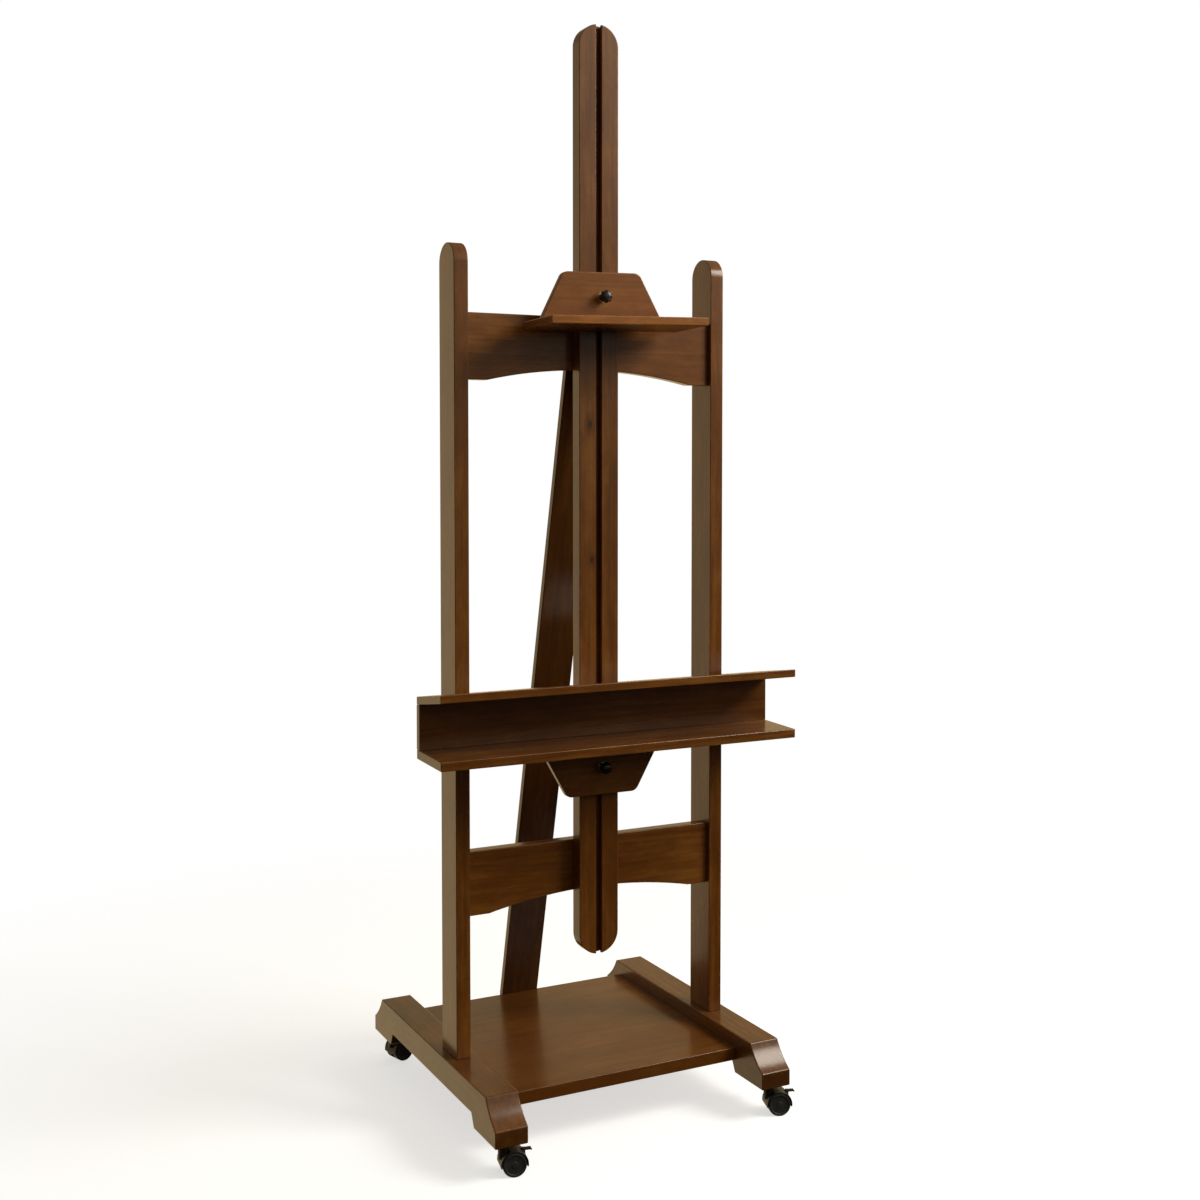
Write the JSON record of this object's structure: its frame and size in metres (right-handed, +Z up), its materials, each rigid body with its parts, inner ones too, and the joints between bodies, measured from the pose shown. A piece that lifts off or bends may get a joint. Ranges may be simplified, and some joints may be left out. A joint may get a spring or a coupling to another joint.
{
  "type": "h-frame easel",
  "caption": "H-frame studio easel on casters with a base shelf, sliding grooved mast, canvas tray, upper canvas holder and rear strut.",
  "frame": {"origin": "on the floor under the middle of the base", "axes": "+X to the right seen from the front, +Y to the back, +Z up; the canvas side faces -Y"},
  "size_m": [0.85, 0.732, 2.378],
  "materials": {
    "walnut": "satin lacquer over dark stain",
    "beech": "unfinished",
    "steel": "zinc plated",
    "knob_black": "satin",
    "caster_black": "satin"
  },
  "bodies": {
    "frame": {"left_foot": "walnut", "right_foot": "walnut", "base_shelf": "walnut", "left_upright": "walnut", "right_upright": "walnut", "crest_rail": "walnut", "lower_rail": "walnut", "rear_strut": "walnut", "strut_top_screw_left": "steel", "strut_top_screw_right": "steel", "strut_foot_screw_left": "steel", "strut_foot_screw_right": "steel", "crest_clamp_bolt": "steel", "crest_clamp_washer": "steel", "lower_clamp_bolt": "steel", "lower_clamp_washer": "steel", "caster_front_left_stem": "steel", "caster_front_right_stem": "steel", "caster_back_left_stem": "steel", "caster_back_right_stem": "steel"},
    "mast": {"mast": "walnut"},
    "tray": {"tray_top_board": "walnut", "tray_back_board": "walnut", "tray_bottom_board": "walnut", "tray_plate": "walnut", "tray_guide_key": "beech", "tray_dowel_left": "beech", "tray_dowel_right": "beech", "tray_clamp_bolt": "steel", "tray_clamp_washer": "steel"},
    "tray_knob": {"tray_clamp_knob": "knob_black"},
    "holder_bolt": {"holder_clamp_bolt": "steel"},
    "holder": {"holder_plate": "walnut", "holder_lip": "walnut", "holder_dowel_left": "beech", "holder_dowel_right": "beech", "holder_clamp_washer": "steel"},
    "holder_knob": {"holder_clamp_knob": "knob_black"},
    "crest_knob": {"crest_clamp_knob": "knob_black"},
    "lower_knob": {"lower_clamp_knob": "knob_black"},
    "front_left_caster": {"caster_front_left_hood": "caster_black", "caster_front_left_axle": "steel"},
    "front_left_near_wheel": {"caster_front_left_near_wheel": "caster_black"},
    "front_left_far_wheel": {"caster_front_left_far_wheel": "caster_black"},
    "front_left_brake": {"caster_front_left_brake": "caster_black"},
    "front_right_caster": {"caster_front_right_hood": "caster_black", "caster_front_right_axle": "steel"},
    "front_right_near_wheel": {"caster_front_right_near_wheel": "caster_black"},
    "front_right_far_wheel": {"caster_front_right_far_wheel": "caster_black"},
    "front_right_brake": {"caster_front_right_brake": "caster_black"},
    "back_left_caster": {"caster_back_left_hood": "caster_black", "caster_back_left_axle": "steel"},
    "back_left_near_wheel": {"caster_back_left_near_wheel": "caster_black"},
    "back_left_far_wheel": {"caster_back_left_far_wheel": "caster_black"},
    "back_left_brake": {"caster_back_left_brake": "caster_black"},
    "back_right_caster": {"caster_back_right_hood": "caster_black", "caster_back_right_axle": "steel"},
    "back_right_near_wheel": {"caster_back_right_near_wheel": "caster_black"},
    "back_right_far_wheel": {"caster_back_right_far_wheel": "caster_black"},
    "back_right_brake": {"caster_back_right_brake": "caster_black"}
  },
  "joints": [
    {"name": "mast_slide", "type": "slide", "parent": "frame", "child": "mast", "axis": [0, 0, 1], "range_m": [-0.2, 0.15]},
    {"name": "tray_slide", "type": "slide", "parent": "mast", "child": "tray", "axis": [0, 0, 1], "range_m": [-0.33, 0.33]},
    {"name": "tray_knob_turn", "type": "hinge", "parent": "tray", "child": "tray_knob", "pos_m": [0, -0.163, 0.766], "axis": [0, 1, 0], "range_deg": [0, 360]},
    {"name": "holder_slide", "type": "slide", "parent": "mast", "child": "holder_bolt", "axis": [0, 0, 1], "range_m": [-0.36, 0.44]},
    {"name": "holder_pivot", "type": "hinge", "parent": "holder_bolt", "child": "holder", "pos_m": [0, -0.1406, 1.79], "axis": [0, 1, 0], "range_deg": [-5, 5]},
    {"name": "holder_knob_turn", "type": "hinge", "parent": "holder_bolt", "child": "holder_knob", "pos_m": [0, -0.163, 1.79], "axis": [0, 1, 0], "range_deg": [0, 360]},
    {"name": "crest_knob_turn", "type": "hinge", "parent": "frame", "child": "crest_knob", "pos_m": [0, -0.056, 1.727], "axis": [0, 1, 0], "range_deg": [0, 360]},
    {"name": "lower_knob_turn", "type": "hinge", "parent": "frame", "child": "lower_knob", "pos_m": [0, -0.056, 0.548], "axis": [0, 1, 0], "range_deg": [0, 360]},
    {"name": "front_left_swivel", "type": "hinge", "parent": "frame", "child": "front_left_caster", "pos_m": [-0.318, -0.33, 0.06], "axis": [0, 0, 1], "continuous": true},
    {"name": "front_left_near_roll", "type": "hinge", "parent": "front_left_caster", "child": "front_left_near_wheel", "pos_m": [-0.29844, -0.33416, 0.025], "axis": [0.2079, 0.9781, 0], "continuous": true},
    {"name": "front_left_far_roll", "type": "hinge", "parent": "front_left_caster", "child": "front_left_far_wheel", "pos_m": [-0.29844, -0.33416, 0.025], "axis": [0.2079, 0.9781, 0], "continuous": true},
    {"name": "front_left_brake_press", "type": "hinge", "parent": "front_left_caster", "child": "front_left_brake", "pos_m": [-0.27741, -0.33863, 0.0445], "axis": [0.2079, 0.9781, 0], "range_deg": [0, 12]},
    {"name": "front_right_swivel", "type": "hinge", "parent": "frame", "child": "front_right_caster", "pos_m": [0.318, -0.33, 0.06], "axis": [0, 0, 1], "continuous": true},
    {"name": "front_right_near_roll", "type": "hinge", "parent": "front_right_caster", "child": "front_right_near_wheel", "pos_m": [0.33707, -0.33601, 0.025], "axis": [0.3007, 0.9537, 0], "continuous": true},
    {"name": "front_right_far_roll", "type": "hinge", "parent": "front_right_caster", "child": "front_right_far_wheel", "pos_m": [0.33707, -0.33601, 0.025], "axis": [0.3007, 0.9537, 0], "continuous": true},
    {"name": "front_right_brake_press", "type": "hinge", "parent": "front_right_caster", "child": "front_right_brake", "pos_m": [0.35758, -0.34248, 0.0445], "axis": [0.3007, 0.9537, 0], "range_deg": [0, 12]},
    {"name": "back_left_swivel", "type": "hinge", "parent": "frame", "child": "back_left_caster", "pos_m": [-0.318, 0.33, 0.06], "axis": [0, 0, 1], "continuous": true},
    {"name": "back_left_near_roll", "type": "hinge", "parent": "back_left_caster", "child": "back_left_near_wheel", "pos_m": [-0.29878, 0.33551, 0.025], "axis": [-0.2756, 0.9613, 0], "continuous": true},
    {"name": "back_left_far_roll", "type": "hinge", "parent": "back_left_caster", "child": "back_left_far_wheel", "pos_m": [-0.29878, 0.33551, 0.025], "axis": [-0.2756, 0.9613, 0], "continuous": true},
    {"name": "back_left_brake_press", "type": "hinge", "parent": "back_left_caster", "child": "back_left_brake", "pos_m": [-0.27811, 0.34144, 0.0445], "axis": [-0.2756, 0.9613, 0], "range_deg": [0, 12]},
    {"name": "back_right_swivel", "type": "hinge", "parent": "frame", "child": "back_right_caster", "pos_m": [0.318, 0.33, 0.06], "axis": [0, 0, 1], "continuous": true},
    {"name": "back_right_near_roll", "type": "hinge", "parent": "back_right_caster", "child": "back_right_near_wheel", "pos_m": [0.33332, 0.31714, 0.025], "axis": [0.6428, 0.766, 0], "continuous": true},
    {"name": "back_right_far_roll", "type": "hinge", "parent": "back_right_caster", "child": "back_right_far_wheel", "pos_m": [0.33332, 0.31714, 0.025], "axis": [0.6428, 0.766, 0], "continuous": true},
    {"name": "back_right_brake_press", "type": "hinge", "parent": "back_right_caster", "child": "back_right_brake", "pos_m": [0.34979, 0.30332, 0.0445], "axis": [0.6428, 0.766, 0], "range_deg": [0, 12]}
  ]
}
